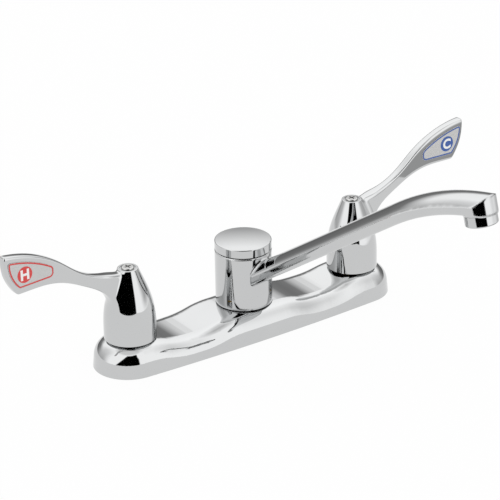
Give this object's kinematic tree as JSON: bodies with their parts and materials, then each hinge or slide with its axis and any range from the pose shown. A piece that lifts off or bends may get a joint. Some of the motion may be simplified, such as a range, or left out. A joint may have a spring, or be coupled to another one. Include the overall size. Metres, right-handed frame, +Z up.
{
  "type": "centreset kitchen faucet",
  "caption": "Deck-mounted chrome kitchen faucet with a waved base plate, wrist-blade handles for hot and cold water and a rising swivel spout.",
  "frame": {"origin": "where the spout's axis meets the deck, under the middle of the base plate", "axes": "+Z up along the spout's axis, +X towards the cold valve, -Y towards the user"},
  "size_m": [0.4169, 0.252, 0.2147],
  "materials": {
    "polished_chrome": "bright chrome plate, mirror polished",
    "screw_steel": "plain stainless steel",
    "hot_index": "grey plate with a red border and letter",
    "cold_index": "grey plate with a blue border and letter",
    "brass": "turned brass",
    "steel": "zinc plated steel",
    "rubber": "black nitrile rubber",
    "white_plastic": "white acetal",
    "black_plastic": "black acetal",
    "ceramic": "lapped white ceramic"
  },
  "bodies": {
    "base": {"base_plate": "polished_chrome", "deck_gasket": "rubber", "spout_post": "brass", "spout_o_rings": "rubber", "spout_glide_ring": "black_plastic", "spout_retaining_clip": "steel", "mounting_washers": "steel", "mounting_nuts": "brass", "hot_valve_body": "brass", "hot_crossover_tube": "brass", "hot_seat_seal": "rubber", "hot_fixed_disc": "ceramic", "hot_cartridge_shell": "white_plastic", "hot_bonnet_nut": "brass", "cold_valve_body": "brass", "cold_crossover_tube": "brass", "cold_seat_seal": "rubber", "cold_fixed_disc": "ceramic", "cold_cartridge_shell": "white_plastic", "cold_bonnet_nut": "brass"},
    "swivel_spout": {"spout": "polished_chrome", "spout_cap": "polished_chrome", "spout_cap_ring": "rubber", "aerator_housing": "polished_chrome", "aerator_screen": "white_plastic", "aerator_gasket": "rubber"},
    "hot_lever": {"hot_handle": "polished_chrome", "hot_handle_screw": "screw_steel", "hot_index_plate": "hot_index", "hot_stem": "brass", "hot_moving_disc": "ceramic", "hot_stem_ring": "rubber"},
    "cold_lever": {"cold_handle": "polished_chrome", "cold_handle_screw": "screw_steel", "cold_index_plate": "cold_index", "cold_stem": "brass", "cold_moving_disc": "ceramic", "cold_stem_ring": "rubber"}
  },
  "joints": [
    {"name": "spout_swivel", "type": "hinge", "parent": "base", "child": "swivel_spout", "pos_m": [0, 0, 0.04], "axis": [0, 0, 1], "continuous": true},
    {"name": "hot_handle_turn", "type": "hinge", "parent": "base", "child": "hot_lever", "pos_m": [-0.1016, 0, 0.04], "axis": [0, 0, 1], "range_deg": [0, 90]},
    {"name": "cold_handle_turn", "type": "hinge", "parent": "base", "child": "cold_lever", "pos_m": [0.1016, 0, 0.04], "axis": [0, 0, 1], "range_deg": [-90, 0]}
  ]
}
